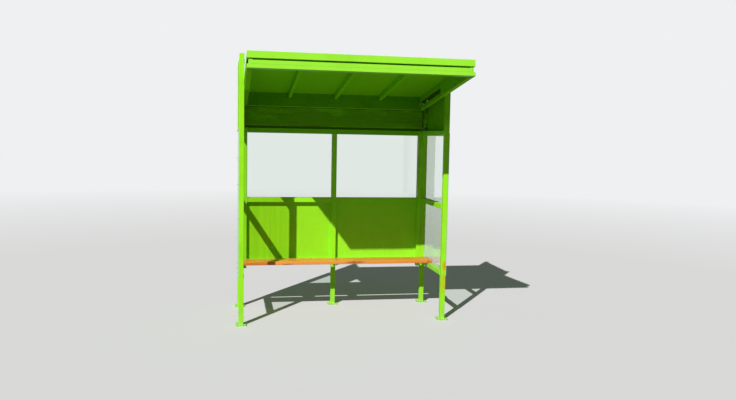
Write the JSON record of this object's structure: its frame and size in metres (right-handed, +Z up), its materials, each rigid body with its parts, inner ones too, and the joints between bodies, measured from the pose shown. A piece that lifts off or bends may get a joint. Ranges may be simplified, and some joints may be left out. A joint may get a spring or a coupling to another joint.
{
  "type": "bus shelter",
  "caption": "Lime-green open-fronted bus shelter of square steel tube with clear side and back windows, sheet lower panels, a plank bench and a sloping roof.",
  "frame": {"origin": "on the floor, under the middle of the whole shelter's bounding box", "axes": "+X to the right seen from the open front, +Y towards the back panel, +Z up"},
  "size_m": [1.788, 1.4866, 2.185],
  "materials": {
    "green_paint": "brushed gloss paint, rubbed in places",
    "green_board": "painted timber, streaky",
    "bench_timber": "orange varnish, worn",
    "glazing": "clear, slightly hazy"
  },
  "bodies": {
    "root": {"back_board": "green_board", "back_glass_left": "glazing", "back_glass_right": "glazing", "back_mullion": "green_paint", "back_panel_left": "green_paint", "back_panel_right": "green_paint", "back_panel_upper": "green_paint", "back_rail_bottom": "green_paint", "back_rail_middle": "green_paint", "back_rail_top": "green_paint", "back_stile_left": "green_paint", "back_stile_right": "green_paint", "base_plates": "green_paint", "bench_arm_middle": "green_paint", "bench_plank": "bench_timber", "leg_back_middle": "green_paint", "post_back_left": "green_paint", "post_back_right": "green_paint", "post_caps": "green_paint", "post_front_left": "green_paint", "post_front_right": "green_paint", "rafter_left": "green_paint", "rafter_middle": "green_paint", "rafter_right": "green_paint", "roof_cheeks": "green_paint", "roof_low_front": "green_paint", "roof_low_left": "green_paint", "roof_low_rear": "green_paint", "roof_low_right": "green_paint", "roof_pan": "green_paint", "roof_closing_plates": "green_paint", "roof_spacers": "green_paint", "roof_top_front": "green_paint", "roof_top_left": "green_paint", "roof_top_rear": "green_paint", "roof_top_right": "green_paint", "roof_upstand": "green_paint", "side_gable_left": "green_paint", "side_gable_right": "green_paint", "side_glass_left": "glazing", "side_glass_right": "glazing", "side_rails_crown": "green_paint", "side_rails_low": "green_paint", "side_rails_middle": "green_paint", "side_rails_top": "green_paint"}
  },
  "joints": []
}
